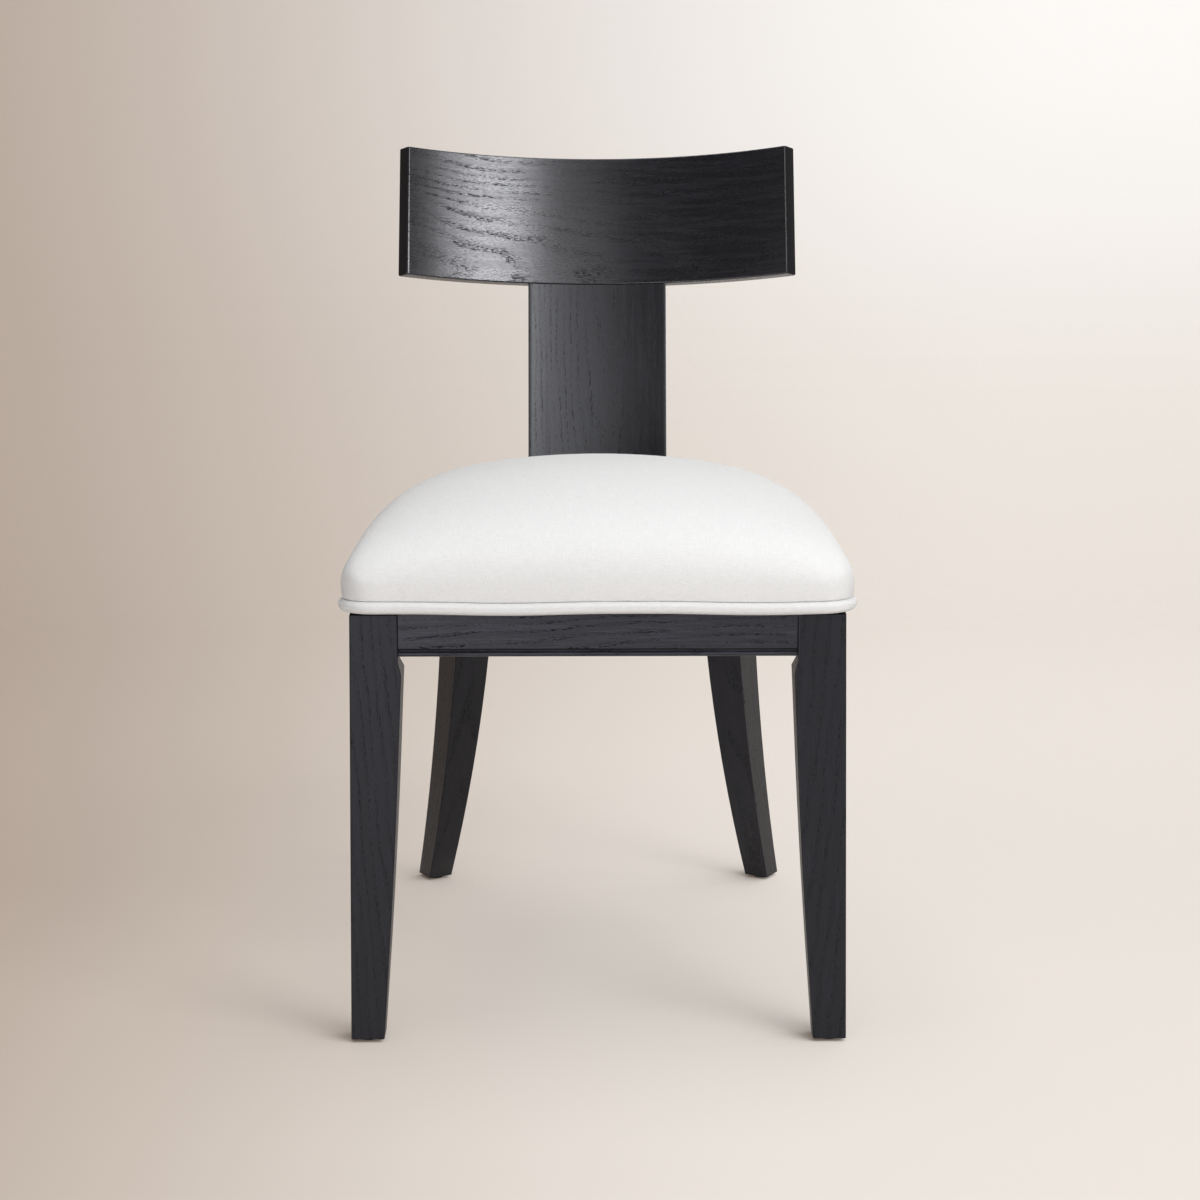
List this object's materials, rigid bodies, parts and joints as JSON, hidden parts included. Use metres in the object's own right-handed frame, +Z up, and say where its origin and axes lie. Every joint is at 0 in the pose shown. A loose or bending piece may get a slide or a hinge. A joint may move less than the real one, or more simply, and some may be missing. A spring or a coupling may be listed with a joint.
{
  "type": "klismos dining chair",
  "caption": "Klismos dining chair: curved crest rail on a single wide splat, sabre rear legs, tapered front legs and a crowned upholstered seat with a welt.",
  "frame": {"origin": "on the floor, at the middle of the chair's plan outline", "axes": "+Z up, the chair faces -Y, +X is to the right of someone who looks at its front; the chair is symmetric about X = 0"},
  "size_m": [0.4886, 0.6164, 0.8317],
  "materials": {
    "black_oak": "black stained open-grain oak, satin lacquer",
    "beech": "bare beech",
    "plywood": "bare birch plywood",
    "foam": "matt seat foam",
    "white_linen": "matt plain-weave white linen",
    "black_cambric": "matt black cambric",
    "zinc_steel": "zinc plated",
    "black_nylon": "moulded nylon"
  },
  "bodies": {
    "root": {"crest_rail": "black_oak", "splat": "black_oak", "crest_dowel_1": "beech", "crest_dowel_2": "beech", "crest_dowel_3": "beech", "front_apron": "black_oak", "left_apron": "black_oak", "right_apron": "black_oak", "rear_rail": "black_oak", "front_left_leg": "black_oak", "front_right_leg": "black_oak", "rear_left_leg": "black_oak", "rear_right_leg": "black_oak", "front_left_corner_block": "beech", "front_left_block_screw_front": "zinc_steel", "front_left_block_screw_side": "zinc_steel", "front_left_seat_screw": "zinc_steel", "front_left_glide": "black_nylon", "front_left_glide_nail": "zinc_steel", "front_right_corner_block": "beech", "front_right_block_screw_front": "zinc_steel", "front_right_block_screw_side": "zinc_steel", "front_right_seat_screw": "zinc_steel", "front_right_glide": "black_nylon", "front_right_glide_nail": "zinc_steel", "rear_left_corner_block": "beech", "rear_left_block_screw_rear": "zinc_steel", "rear_left_block_screw_side": "zinc_steel", "rear_left_seat_screw": "zinc_steel", "rear_left_glide": "black_nylon", "rear_left_glide_nail": "zinc_steel", "rear_right_corner_block": "beech", "rear_right_block_screw_rear": "zinc_steel", "rear_right_block_screw_side": "zinc_steel", "rear_right_seat_screw": "zinc_steel", "rear_right_glide": "black_nylon", "rear_right_glide_nail": "zinc_steel", "seat_board": "plywood", "foam_pad": "foam", "seat_cover": "white_linen", "seat_welt": "white_linen", "dust_cover": "black_cambric"}
  },
  "joints": []
}
